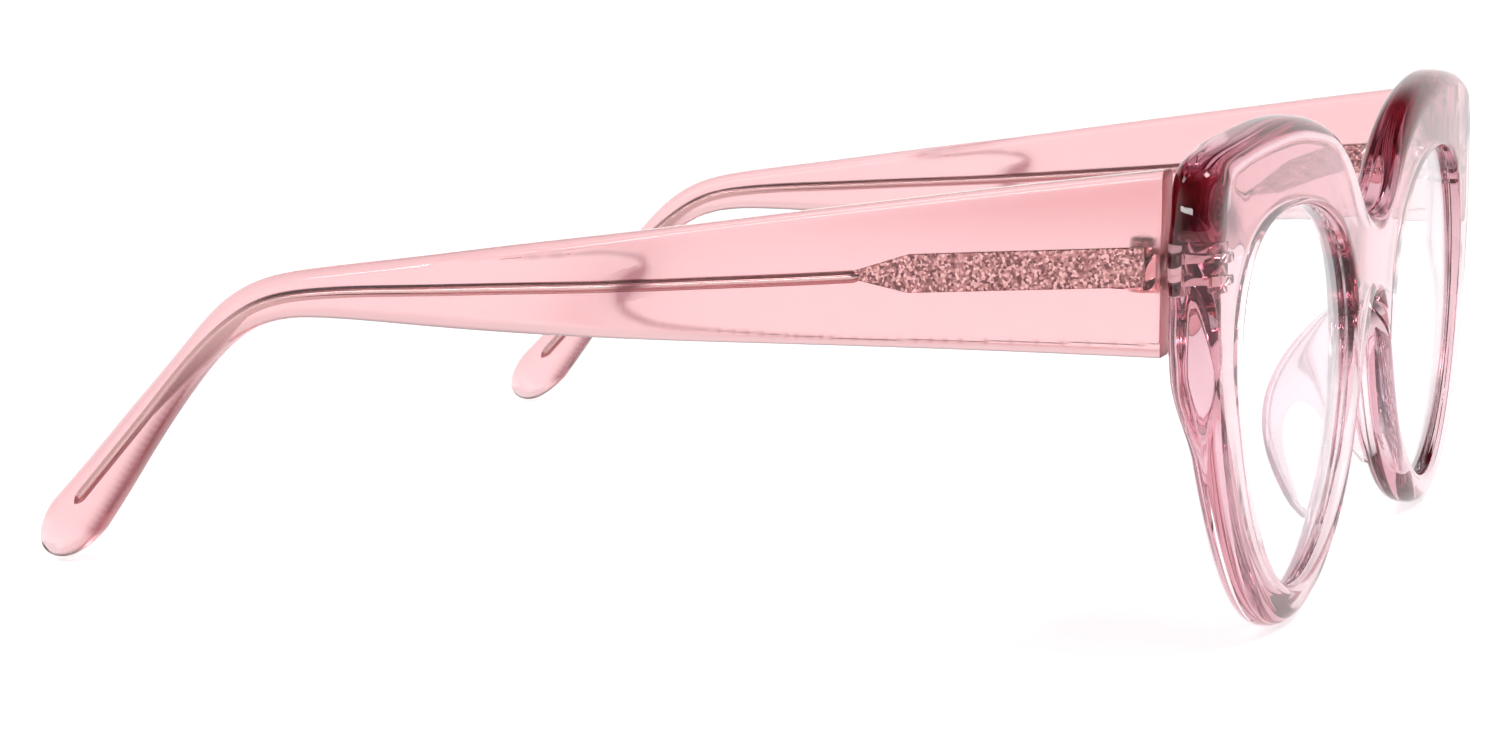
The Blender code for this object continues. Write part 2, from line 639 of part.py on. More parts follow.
# ---- lens and nose pad -------------------------------------------------------------------
def make_lens(word, side, material, count=64, rings=3):
    """Thin curved lens whose edge is a V that stands in the rim's groove."""
    flat_edge = opening_by_angle(-GAP)
    bevel_edge = opening_by_angle(LENS_BEVEL)
    half = LENS_THICKNESS / 2.0
    mesh_data = bmesh.new()
    for face_sign in (-1.0, 1.0):
        rows = []
        for i in range(count):
            edge = flat_edge(math.tau * i / count)
            row = []
            for t in np.linspace(0.0, 1.0, rings + 1):
                x = LENS_MIDDLE[0] + (edge[0] - LENS_MIDDLE[0]) * t
                z = LENS_MIDDLE[1] + (edge[1] - LENS_MIDDLE[1]) * t
                row.append(place(side * x, lens_middle_y(x, z) + face_sign * half, z))
            rows.append(row)
        strip(mesh_data, rows, closed=True)
    rows = []
    for i in range(count):
        angle = math.tau * i / count
        x, z = flat_edge(angle)
        bevel_x, bevel_z = bevel_edge(angle)
        middle = lens_middle_y(x, z)
        rows.append([place(side * x, middle - half, z),
                     place(side * bevel_x, middle, bevel_z),
                     place(side * x, middle + half, z)])
    strip(mesh_data, rows, closed=True)
    return add_object("lens_" + word, mesh_data, material)


def rim_nasal_edges(z):
    """x of the nasal outline and of the lens opening at one height."""
    outline, _ = half_outline(8)
    nasal = outline[outline[:, 0] < 20.0]
    nasal = nasal[nasal[:, 1] < 31.0][::-1]
    inner = np.interp(z, nasal[::-1][:, 1], nasal[::-1][:, 0])
    loop = closed_spline(LENS_OPENING, 8)
    near = loop[loop[:, 0] < 20.0]
    near = near[np.argsort(near[:, 1])]
    return inner, np.interp(z, near[:, 1], near[:, 0])


def pad_section(z, steps=8):
    """Section of a nose pad at one height: a fin that leans outward behind the rim."""
    place_in_height = (z - PAD_LOW) / (PAD_HIGH - PAD_LOW)
    swell = max(math.sin(math.pi * place_in_height), 0.0) ** 0.85
    inner, outer = rim_nasal_edges(z)
    base_x = inner + (outer - inner) * PAD_SEAT
    base_y = rear_face_y(base_x, z) + GAP
    reach = PAD_TIP_HALF + PAD_REACH * swell
    half = PAD_TIP_HALF + (PAD_HALF_THICKNESS - PAD_TIP_HALF) * swell ** 0.6
    lean = math.radians(PAD_LEAN)
    points = []
    for i in range(steps + 1):
        angle = math.pi * i / steps
        along = reach * math.sin(angle) ** 0.8
        across = half * math.cos(angle)
        x = base_x + across + along * math.sin(lean)
        y = base_y + along * math.cos(lean)
        points.append((x, y))
    return points


def make_nose_pad(word, side, material, levels=12):
    mesh_data = bmesh.new()
    rings = []
    for z in np.linspace(PAD_LOW, PAD_HIGH, levels + 1):
        rings.append([place(side * x, y, z) for x, y in pad_section(z)])
    loft(mesh_data, rings)
    return add_object("nose_pad_" + word, mesh_data, material)


def make_front(material):
    front = add_object("front_frame", front_half(), material)
    mirror = front.modifiers.new("mirror", "MIRROR")
    mirror.use_axis = (True, False, False)
    mirror.merge_threshold = 0.00001
    return front


def main():
    clear_scene()
    pink = make_material("pink_acetate", (0.95, 0.55, 0.60), 0.05, transmission=1.0)
    clear = make_material("clear_lens", (0.97, 0.97, 1.0), 0.02, transmission=1.0)
    rose_gold = make_material("rose_gold_core", (0.78, 0.55, 0.50), 0.28, metallic=1.0)
    steel = make_material("hinge_steel", (0.80, 0.74, 0.72), 0.25, metallic=1.0)
    front = make_front(pink)
    for word, side in SIDES.items():
        cut_front_pockets(front, word, side)
        make_lens(word, side, clear)
        make_nose_pad(word, side, pink)
        make_front_leaf(word, side, steel)
        make_screw(word, side, steel)
        fold_axis = bpy.data.objects.new("fold_axis_" + word, None)
        bpy.context.scene.collection.objects.link(fold_axis)
        fold_axis.location = place(side * HINGE_X, HINGE_Y, HINGE_Z)
        temple = make_temple("temple_" + word, side, pink)
        cut_temple_pockets(temple, word, side)
        core = make_core("core_wire_" + word, side, rose_gold)
        leaf = make_temple_leaf(word, side, steel)
        bpy.context.view_layer.update()
        pieces = [temple, core, leaf]
        pieces += [modifier.object for piece in pieces for modifier in piece.modifiers]
        for piece in pieces:
            piece.parent = fold_axis
            piece.matrix_parent_inverse = fold_axis.matrix_world.inverted()
        fold_axis.rotation_euler.z = side * math.radians(TOE_IN)


main()
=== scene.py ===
import json
import math

import bmesh
import bpy
import numpy as np
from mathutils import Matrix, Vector


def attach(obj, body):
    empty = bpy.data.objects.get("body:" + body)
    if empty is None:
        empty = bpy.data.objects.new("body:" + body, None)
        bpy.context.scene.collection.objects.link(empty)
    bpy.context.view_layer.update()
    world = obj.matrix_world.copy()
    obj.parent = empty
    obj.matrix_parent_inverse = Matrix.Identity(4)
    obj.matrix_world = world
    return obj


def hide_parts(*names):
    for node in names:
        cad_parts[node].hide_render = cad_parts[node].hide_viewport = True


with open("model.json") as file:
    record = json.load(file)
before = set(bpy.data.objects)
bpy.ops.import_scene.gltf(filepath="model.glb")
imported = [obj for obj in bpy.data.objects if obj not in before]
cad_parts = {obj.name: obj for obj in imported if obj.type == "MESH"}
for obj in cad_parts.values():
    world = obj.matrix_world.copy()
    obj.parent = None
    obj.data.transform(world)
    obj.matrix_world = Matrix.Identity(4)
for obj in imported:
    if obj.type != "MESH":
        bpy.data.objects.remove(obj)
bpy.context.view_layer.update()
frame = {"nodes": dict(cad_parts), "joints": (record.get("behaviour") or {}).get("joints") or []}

MM = 0.001
SIDES = {"right": -1.0, "left": 1.0}
scene = bpy.context.scene

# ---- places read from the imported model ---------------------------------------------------
hinge_joint = next(j for j in frame["joints"] if j["child"] == "temple_left")
HINGE_X = hinge_joint["pos_m"][0] / MM
HINGE_Y = 7.0  # behind the datum plane, where the shapes below have y = 0
DATUM_Y = hinge_joint["pos_m"][1] / MM - HINGE_Y

# ---- shapes, millimetres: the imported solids' curves, rounder at the end pieces -------------
LENS_MIDDLE = (33.0, 24.0)
# (x, z, radius of the front edge), from the bridge's top round the rim to its underside.
FRONT_OUTLINE = (
    (0.0, 39.8, 2.0), (5.2, 41.5, 2.2), (12.6, 47.2, 2.4), (22.0, 51.5, 2.5),
    (30.6, 53.1, 2.6), (38.0, 53.7, 2.6), (46.0, 53.6, 2.6), (54.6, 52.9, 2.4),
    (61.6, 51.9, 2.5), (65.6, 50.2, 2.7), (67.2, 46.6, 2.6), (67.4, 41.0, 2.5),
    (67.2, 34.6, 2.3), (65.0, 25.4, 2.1), (60.6, 15.4, 2.1), (53.4, 6.6, 2.2),
    (44.6, 1.4, 2.2), (35.8, 0.0, 2.1), (26.4, 1.6, 2.1), (18.0, 6.2, 1.9),
    (11.8, 13.0, 1.6), (7.9, 20.2, 1.5), (4.5, 26.6, 1.5), (0.0, 30.1, 1.8))
REAR_EDGE_RADIUS = 1.7
MIDDLE_Z = 27.0
WRAP_SPAN = 40.0  # x where the faces have moved back by their wrap
FRONT_FACE_Y, FRONT_LEAN, FRONT_WRAP = -3.34, 0.27, 0.67
REAR_FACE_Y, REAR_LEAN, REAR_WRAP, REAR_WRAP_RISE = 1.4, 0.02, 0.4, 0.72
BRIDGE_EXTRA, BRIDGE_SPREAD = 0.25, 14.0
END_PIECE_REAR = 3.8
HAND_POLISH = 0.16  # unevenness left by polishing behind the end piece
LENS_OPENING = (
    (56.0, 24.5), (57.2, 31.4), (55.9, 37.4), (51.6, 41.8), (45.6, 43.8),
    (39.2, 44.3), (31.8, 43.9), (24.6, 42.4), (18.0, 39.2), (12.9, 34.2),
    (10.6, 27.6), (11.0, 20.4), (14.2, 14.0), (19.2, 9.3), (25.0, 6.0),
    (31.2, 4.1), (37.8, 4.2), (44.0, 6.9), (49.4, 11.6), (53.6, 18.0))
OPENING_EDGE_RADIUS = 0.7
OUTLINE_STEPS = 9  # points on each span of the outline
SEAM_STEPS = 9  # points across the bridge's middle
FACE_STEPS = 13  # points from an opening out to the rim
GROOVE_DEPTH = 0.8
GROOVE_HALF_WIDTH = 1.1
LENS_THICKNESS = 1.9
LENS_CURVE_RADIUS = 265.0
LENS_MIDDLE_Y = -1.6
LENS_TURN, LENS_LEAN = 0.022, 0.008
LENS_GAP = 0.02
LENS_BEVEL = 0.6
PAD_LOW, PAD_HIGH = 7.6, 29.6
PAD_REACH = 6.2
PAD_HALF_THICKNESS = 1.7
PAD_TIP_HALF = 0.35
PAD_SEAT = 0.38
PAD_LEAN = math.radians(24.0)
PAD_SINK = 0.5
PAD_RINGS, PAD_POINTS = 49, 29
PAD_ROOT = 0.8
# The inner sides of rim and opening beside the nose lie below and inside these.
NASAL_X, NASAL_TOP = 20.0, 31.0
TEMPLE_TOP = (
    (4.1, 50.3), (18.0, 48.3), (31.8, 46.2), (46.0, 44.0), (60.0, 41.8), (76.8, 39.3),
    (89.1, 37.4), (101.0, 35.6), (107.4, 34.1), (112.4, 31.4), (117.0, 27.0),
    (120.8, 23.0), (124.8, 18.9), (129.0, 14.5), (132.6, 10.8), (136.2, 7.2))
TEMPLE_BOTTOM = (
    (4.1, 32.1), (18.0, 31.8), (31.8, 31.4), (46.0, 30.9), (60.0, 30.4), (76.3, 30.1),
    (88.0, 30.2), (98.6, 30.3), (104.6, 29.8), (109.3, 28.2), (113.4, 25.3),
    (117.0, 21.5), (120.4, 17.3), (123.8, 12.7), (127.0, 8.2), (130.2, 3.9))
TEMPLE_CENTRE_X = 65.1
TOE_IN = math.radians(2.35)
TEMPLE_THICKNESS = 3.8
TEMPLE_STEPS = 26  # cross-sections on each span
TEMPLE_TIP_LENGTH = 6.5
FRONT_EDGE_RADIUS = 0.8
TIP_EDGE_RADIUS = 1.3
# The temple's front end: how far each ring stands in from its edge and back from the end.
FRONT_END_STEPS = ((0.16, 0.0), (0.05, 0.05), (0.0, 0.16))
# Middle of the facet's slope on the temple's outer side, (y, z): from the top strip round
# to the line above the lower edge. The closing points run round the area behind it.
FACET_EDGE = (
    (77.5, 37.94), (72.8, 38.50), (68.6, 38.95), (63.2, 39.41), (61.0, 39.26), (59.7, 38.81),
    (59.5, 38.15), (60.2, 37.28), (61.3, 36.38), (62.0, 35.30), (62.2, 34.55), (62.0, 33.83),
    (60.8, 32.96), (58.8, 32.35), (55.8, 32.06), (51.6, 32.01), (45.1, 32.00), (37.5, 32.11),
    (24.4, 32.64), (3.3, 33.58))
FACET_CLOSE = ((3.3, 0.0), (160.0, 0.0), (160.0, 20.0), (100.0, 36.0))
FACET_DEPTH = 0.26
# The wide bend: its place and spread as shares of the facet line's length.
BEND_PLACE, BEND_SPREAD = 0.44, 0.17
# Colour of the painted shade along the temple's facet slope and lower edge.
FACET_SHADE_COLOUR = (0.27, 0.13, 0.16)
# Colour of the painted shade on the front's end pieces and nasal walls.
FRONT_SHADE_COLOUR = (0.06, 0.03, 0.06)
SATIN = 0.29  # roughness of the temple's inner side
# How far the rows on an outer side crowd towards its upper and lower edges.
CROWDING = 0.5
CORE_PATH = (
    (36.9, 38.2), (44.0, 37.5), (52.8, 36.7), (64.0, 35.7), (76.3, 34.8), (88.6, 33.9),
    (101.2, 32.8), (107.6, 31.3), (112.2, 28.6), (116.8, 24.6), (122.6, 18.4),
    (128.0, 12.6), (132.6, 7.7))
CORE_RADIUS = 0.66
SHIELD_FRONT = (5.9, 40.83)
SHIELD_BACK = (30.4, 38.9)
SHIELD_HALF_HEIGHT = 1.95
SHIELD_HALF_THICKNESS = 0.4
SHIELD_POINT_LENGTH = 7.2
SHIELD_POINT_HALF = 0.12
SHIELD_END_Y = 37.2
SHIELD_EDGE_RADIUS = 0.14
WIRE_START = (35.2, 38.38)
# The wire's rounded end: how far each ring lies past the path and its share of the radius.
WIRE_END = ((0.5, 0.86), (0.95, 0.55), (1.3, 0.2), (1.4, 0.04))


# ---- curves -------------------------------------------------------------------------------
def spline(points, per_span, closed):
    """Samples of a cubic spline with continuous curvature through points.

    A closed one is solved over a few points more at each end, so that it joins smoothly.
    """
    nodes = np.array(points, float)
    if closed:
        count = len(nodes)
        wrap = 6
        nodes = np.vstack([nodes[-wrap:], nodes, nodes[:wrap + 1]])
    steps = np.linalg.norm(np.diff(nodes[:, :2], axis=0), axis=1)
    total = len(nodes)
    system = np.eye(total)
    load = np.zeros_like(nodes)
    rise = np.diff(nodes, axis=0) / steps[:, None]
    for i in range(1, total - 1):
        system[i, i - 1:i + 2] = (steps[i - 1], 2.0 * (steps[i - 1] + steps[i]), steps[i])
        load[i] = 6.0 * (rise[i] - rise[i - 1])
    bend = np.linalg.solve(system, load)
    rows = []
    for i in range(total - 1):
        for step in range(per_span):
            b = step / per_span
            a = 1.0 - b
            rows.append(a * nodes[i] + b * nodes[i + 1] + ((a ** 3 - a) * bend[i]
                        + (b ** 3 - b) * bend[i + 1]) * steps[i] ** 2 / 6.0)
    rows = np.array(rows)
    if closed:
        return rows[wrap * per_span:(wrap + count) * per_span]
    return np.vstack([rows, nodes[-1]])


def normals_of(loop, sign):
    """Unit normals of a closed loop, on the side that sign gives."""
    along = np.roll(loop[:, :2], -1, 0) - np.roll(loop[:, :2], 1, 0)
    along /= np.linalg.norm(along, axis=1)[:, None]
    return np.stack([-sign * along[:, 1], sign * along[:, 0]], axis=1)


def ease(value, start, end):
    """Smooth step from 0 at start to 1 at end."""
    t = np.clip((np.asarray(value, float) - start) / (end - start), 0.0, 1.0)
    return t * t * (3.0 - 2.0 * t)


def front_face_y(x, z):
    """The front's forward face: leaning and wrapped round the head."""
    return (FRONT_FACE_Y + FRONT_LEAN * (z - MIDDLE_Z) / MIDDLE_Z
            + FRONT_WRAP * (x / WRAP_SPAN) ** 2)


def rear_face_y(x, z):
    """The front's back face, thicker at the bridge and again at the end piece."""
    height = (z - MIDDLE_Z) / MIDDLE_Z
    wrap = (REAR_WRAP + REAR_WRAP_RISE * height) * (x / WRAP_SPAN) ** 2
    bridge = BRIDGE_EXTRA * np.exp(-(x / BRIDGE_SPREAD) ** 2) * ease(z, 16.0, 32.0)
    open_face = REAR_FACE_Y + REAR_LEAN * height + wrap
    open_face = open_face + bridge
    end_piece = ease(x, 53.0, 61.0) * ease(z, 22.0, 31.0)
    hand_polish = HAND_POLISH * (1.0 + np.sin(0.62 * z + 0.35 * x) * np.cos(0.8 * x - 0.2 * z))
    return open_face + (END_PIECE_REAR - hand_polish - open_face) * end_piece


def lens_middle_y(x, z):
    """Middle surface of a lens, part of a sphere, and so of the groove that holds it."""
    dx = x - LENS_MIDDLE[0]
    dz = z - LENS_MIDDLE[1]
    curve = (dx * dx + dz * dz) / (2.0 * LENS_CURVE_RADIUS)
    return LENS_MIDDLE_Y + LENS_TURN * dx + LENS_LEAN * dz + curve


def opening_by_angle(offset):
    """The opening's edge, grown by an offset, as a function of the angle round its middle."""
    loop = spline(LENS_OPENING, 30, True)
    grown = loop + offset * normals_of(loop, -1.0)
    x = grown[:, 0] - LENS_MIDDLE[0]
    z = grown[:, 1] - LENS_MIDDLE[1]
    angles = np.unwrap(np.arctan2(z, x))
    reach = np.tile(np.hypot(x, z), 3)
    angles = np.concatenate([angles - math.tau, angles, angles + math.tau])

    def point(angle):
        distance = np.interp(angle, angles, reach)
        return np.stack([LENS_MIDDLE[0] + distance * np.cos(angle),
                         LENS_MIDDLE[1] + distance * np.sin(angle)], -1)
    return point


# ---- meshes -------------------------------------------------------------------------------
def add_piece(name, verts, faces, material, body, replaced, sharp):
    """One closed piece on a body, smooth but for edges past the sharp angle; verts in millimetres."""
    co = np.array(verts, float)
    co[:, 1] += DATUM_Y
    mesh = bpy.data.meshes.new(name)
    mesh.from_pydata((co * MM).tolist(), [], faces)
    work = bmesh.new()
    work.from_mesh(mesh)
    bmesh.ops.remove_doubles(work, verts=work.verts, dist=2e-6)
    bmesh.ops.dissolve_degenerate(work, edges=work.edges, dist=1e-7)
    bmesh.ops.recalc_face_normals(work, faces=work.faces)
    work.to_mesh(mesh)
    work.free()
    mesh.shade_smooth()
    mesh.set_sharp_from_angle(angle=math.radians(sharp))
    mesh.materials.append(material)
    item = bpy.data.objects.new(name, mesh)
    scene.collection.objects.link(item)
    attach(item, body)
    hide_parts(replaced)
    return item


def strip(rows, closed, start, wrap_row=False):
    """Quads between rows of equally many points; returns faces with an index offset."""
    count, width = len(rows), len(rows[0])
    faces = []
    for i in range(count if closed else count - 1):
        k = (i + 1) % count
        for j in range(width if wrap_row else width - 1):
            m = (j + 1) % width
            faces.append((start + i * width + j, start + i * width + m,
                          start + k * width + m, start + k * width + j))
    return faces


def tube_faces(rings):
    """Faces round a row of closed rings, with a cap on each end."""
    width = len(rings[0])
    last = len(rings) * width
    faces = strip(rings, False, 0, True)
    return faces + [tuple(range(width)), tuple(range(last - width, last))]


def toe_in(points, side):
    """Turn points built straight back about the hinge so the temple runs slightly inward."""
    out = np.array(points, float)
    dx = out[:, 0] - HINGE_X
    dy = out[:, 1] - HINGE_Y
    out[:, 0] = side * (HINGE_X + dx * math.cos(TOE_IN) - dy * math.sin(TOE_IN))
    out[:, 1] = HINGE_Y + dx * math.sin(TOE_IN) + dy * math.cos(TOE_IN)
    return out


def front_rows():
    """Outline, rims and opening of the front's half at x >= 0, as rows of points."""
    mirrored = [(-x, z, r) for x, z, r in FRONT_OUTLINE[-2:0:-1]]
    loop = spline(list(FRONT_OUTLINE) + mirrored, OUTLINE_STEPS, True)
    normals = normals_of(loop, 1.0)
    last = (len(FRONT_OUTLINE) - 1) * OUTLINE_STEPS
    outline = loop[:last + 1].copy()
    normal = normals[:last + 1].copy()
    for end, sign in ((0, 1.0), (last, -1.0)):
        outline[end, 0] = 0.0
        normal[end] = (0.0, sign)
    outer_front = outline[:, :2] - normal * outline[:, 2:3]
    outer_rear = outline[:, :2] - normal * REAR_EDGE_RADIUS
    across = np.linspace(0.0, 1.0, SEAM_STEPS)[1:-1, None]
    seam_front = outer_front[-1] + (outer_front[0] - outer_front[-1]) * across
    seam_rear = outer_rear[-1] + (outer_rear[0] - outer_rear[-1]) * across
    front_rim = np.vstack([outer_front, seam_front])
    rear_rim = np.vstack([outer_rear, seam_rear])
    angle = np.arctan2(front_rim[:, 1] - LENS_MIDDLE[1], front_rim[:, 0] - LENS_MIDDLE[0])
    opening = [opening_by_angle(offset)(angle) for offset in (0.0, OPENING_EDGE_RADIUS, GROOVE_DEPTH)]
    return outline, normal, front_rim, rear_rim, opening


def face_rows(edge, rim, surface):
    """A face of the front from the opening's rounded edge out to the rim's."""
    steps = np.linspace(0.0, 1.0, FACE_STEPS)
    rows = []
    for inner, outer in zip(edge, rim):
        x = inner[0] + (outer[0] - inner[0]) * steps
        z = inner[1] + (outer[1] - inner[1]) * steps
        rows.append([tuple(p) for p in np.stack([x, surface(x, z), z], 1)])
    return rows


def opening_rows(wall, edge, groove):
    """The opening's side: rounded edge, wall, V groove, wall, rounded edge."""
    turns = np.linspace(0.0, math.pi / 2.0, 7)
    rows = []
    for at_wall, at_edge, at_groove in zip(wall, edge, groove):
        front_y = float(front_face_y(*at_edge))
        rear_y = float(rear_face_y(*at_edge))
        lens_y = float(lens_middle_y(*at_wall))
        row = []
        for t in turns:
            mix = at_edge + (at_wall - at_edge) * math.sin(t)
            row.append((mix[0], front_y + OPENING_EDGE_RADIUS * (1.0 - math.cos(t)), mix[1]))
        row.append((at_wall[0], lens_y - GROOVE_HALF_WIDTH, at_wall[1]))
        row.append((at_groove[0], lens_y, at_groove[1]))
        row.append((at_wall[0], lens_y + GROOVE_HALF_WIDTH, at_wall[1]))
        for t in turns[::-1]:
            mix = at_edge + (at_wall - at_edge) * math.sin(t)
            row.append((mix[0], rear_y - OPENING_EDGE_RADIUS * (1.0 - math.cos(t)), mix[1]))
        rows.append(row)
    return rows


def outer_rows(outline, normal):
    """The front's outer side: a rounded edge in front, a flat, a rounded edge behind."""
    turns = np.linspace(0.0, math.pi / 2.0, 9)
    rows = []
    for (x, z, radius), (nx, nz) in zip(outline, normal):
        arcs = []
        for r, surface, sign in ((radius, front_face_y, 1.0), (REAR_EDGE_RADIUS, rear_face_y, -1.0)):
            cx, cz = x - nx * r, z - nz * r
            face_y = float(surface(cx, cz))
            arcs.append([(cx + nx * r * math.sin(t), face_y + sign * r * (1.0 - math.cos(t)),
                          cz + nz * r * math.sin(t)) for t in turns])
        front_arc, rear_arc = arcs
        flat = [tuple(a + (b - a) * t for a, b in zip(front_arc[-1], rear_arc[-1]))
                for t in (0.25, 0.5, 0.75)]
        rows.append(front_arc + flat + rear_arc[::-1])
    return rows


def make_front(material):
    """Both halves of the front, joined where they meet in the middle of the bridge."""
    outline, normal, front_rim, rear_rim, (wall, edge, groove) = front_rows()
    verts, faces = [], []
    for rows, closed in ((face_rows(edge, front_rim, front_face_y), True),
                         (face_rows(edge, rear_rim, rear_face_y), True),
                         (opening_rows(wall, edge, groove), True),
                         (outer_rows(outline, normal), False)):
        faces += strip(rows, closed, len(verts))
        for row in rows:
            verts += row
    half = np.array(verts)
    other = half * (-1.0, 1.0, 1.0)
    shift = len(half)
    faces = faces + [tuple(shift + i for i in reversed(f)) for f in faces]
    item = add_piece("front_acetate", np.vstack([half, other]), faces, material, "front",
                     "front_frame", 30.0)
    paint_front_shade(item)
    return item


def paint_front_shade(item):
    """Painted shade: a darker tint on the thick end pieces and on the openings' nasal walls."""
    places = np.array([v.co[:] for v in item.data.vertices]) / MM
    x = np.abs(places[:, 0])
    y = places[:, 1] - DATUM_Y
    z = places[:, 2]
    # Painted shade on the end piece, in slow waves, paler towards its top.
    shade_waves = 0.72 + 0.28 * np.sin(0.75 * z + 0.9 * y - 0.5 * x)
    end_piece = ease(x, 56.0, 62.5) * ease(z, 40.5, 44.5) * shade_waves
    end_piece *= 1.0 - 0.8 * ease(z, 45.5, 50.0)
    # Painted shade on the opening's wall beside the nose, between its two rounded edges.
    wall = ease(y, -2.9, -2.3) * (1.0 - ease(y, 0.9, 1.5)) * ease(x, 9.6, 10.4)
    nasal_shade = wall * (1.0 - ease(x, 13.5, 17.0)) * ease(z, 25.0, 29.0) * (1.0 - ease(z, 38.0, 43.0))
    nasal_shade *= 0.62 + 0.38 * np.sin(1.5 * z)
    weight = np.clip(0.95 * end_piece + 0.95 * nasal_shade, 0.0, 1.0)
    paint(item.data, weight, FRONT_SHADE_COLOUR, 0.0)


def paint(mesh, weight, full, satin):
    """Store painted shade as a tint towards full by weight, with the satin share as its fourth
    number.
    """
    colours = np.ones((len(weight), 4))
    colours[:, :3] = 1.0 - weight[:, None] * (1.0 - np.array(full))
    colours[:, 3] = satin
    shade_and_satin = mesh.color_attributes.new("shade_and_satin", "FLOAT_COLOR", "POINT")
    shade_and_satin.data.foreach_set("color", colours.ravel().tolist())


def nasal_edges(z):
    """Where the rim beside the nose begins and ends across the front at height z."""
    outline = spline(FRONT_OUTLINE, 12, False)
    outline = outline[(outline[:, 0] < NASAL_X) & (outline[:, 1] < NASAL_TOP)]
    outline = outline[np.argsort(outline[:, 1])]
    loop = spline(LENS_OPENING, 12, True)
    loop = loop[loop[:, 0] < NASAL_X]
    loop = loop[np.argsort(loop[:, 1])]
    return np.interp(z, outline[:, 1], outline[:, 0]), np.interp(z, loop[:, 1], loop[:, 0])


def make_nose_pad(word, side, material):
    """A fin that swells out of the back of the rim beside the nose."""
    rings = []
    for t in np.linspace(0.0, 1.0, PAD_RINGS):
        z = PAD_LOW + (PAD_HIGH - PAD_LOW) * (0.5 - 0.5 * math.cos(math.pi * t))
        place = (z - PAD_LOW) / (PAD_HIGH - PAD_LOW)
        swell = max(math.sin(math.pi * place), 0.0) ** 0.85
        inner, outer = nasal_edges(z)
        base_x = inner + (outer - inner) * PAD_SEAT
        base_y = float(rear_face_y(base_x, z)) - PAD_SINK
        reach = PAD_TIP_HALF + PAD_ROOT + PAD_REACH * swell
        half = PAD_TIP_HALF + (PAD_HALF_THICKNESS - PAD_TIP_HALF) * swell ** 0.6
        ring = []
        for i in range(PAD_POINTS):
            angle = math.pi * i / (PAD_POINTS - 1)
            along = reach * math.sin(angle) ** 0.8
            x = base_x + half * math.cos(angle) + along * math.sin(PAD_LEAN)
            ring.append((side * x, base_y + along * math.cos(PAD_LEAN), z))
        rings.append(ring)
    verts = [p for ring in rings for p in ring]
    faces = tube_faces(rings)
    return add_piece("nose_pad_clear_" + word, verts, faces, material, "front",
                     "nose_pad_" + word, 50.0)


def make_lens(word, side, material):
    """Curved lens, ring by ring from its front face round the bevel to its back."""
    count = 160
    angle = np.linspace(0.0, math.tau, count, endpoint=False)
    flat = opening_by_angle(-LENS_GAP)(angle)
    bevel = opening_by_angle(LENS_BEVEL)(angle)
    half = LENS_THICKNESS / 2.0
    centre = np.array(LENS_MIDDLE)
    verts = []
    rings = []
    for t in np.linspace(0.05, 1.0, 14):
        rings.append(centre + (flat - centre) * t)
    layers = [(ring, -half) for ring in rings] + [(bevel, 0.0)]
    layers += [(ring, half) for ring in rings[::-1]]
    for ring, offset in layers:
        base = flat if ring is bevel else ring
        y = lens_middle_y(base[:, 0], base[:, 1]) + offset
        verts += [(side * a, b, c) for a, b, c in zip(ring[:, 0], y, ring[:, 1])]
    faces = tube_faces([verts[i:i + count] for i in range(0, len(verts), count)])
    return add_piece("lens_clear_" + word, verts, faces, material, "front",
                     "lens_" + word, 30.0)


# ---- temples ------------------------------------------------------------------------------
def facet_place(y, z):
    """Signed distance behind the facet's slope and how near its wide middle bend."""
    edge = spline(FACET_EDGE, 8, False)
    points = np.stack([y, z], -1).reshape(-1, 2)
    gap = points[:, None, :] - edge[None, :, :]
    nearest = np.sqrt((gap ** 2).sum(-1))
    index = nearest.argmin(1)
    area = np.vstack([edge, FACET_CLOSE])
    inside = np.zeros(len(points), bool)
    for a, b in zip(area, np.roll(area, -1, 0)):
        crosses = (a[1] > points[:, 1]) != (b[1] > points[:, 1])
        rise = b[1] - a[1]
        at = a[0] + (b[0] - a[0]) * (points[:, 1] - a[1]) / (rise if abs(rise) > 1e-9 else 1e-9)
        inside ^= crosses & (points[:, 0] < at)
    share = index / (len(edge) - 1.0)
    distance = np.where(inside, 1.0, -1.0) * nearest.min(1)
    return distance, np.exp(-((share - BEND_PLACE) / BEND_SPREAD) ** 2)


def facet_depth(y, z):
    """How far the outer side stands back beyond the facet's slope."""
    distance, middle = facet_place(y, z)
    width = 0.9 + 3.0 * middle
    depth = FACET_DEPTH * (1.0 - 0.8 * ease(np.ravel(y), 66.0, 92.0))
    return (depth * ease(distance / width + 0.5, 0.0, 1.0)).reshape(np.shape(y))


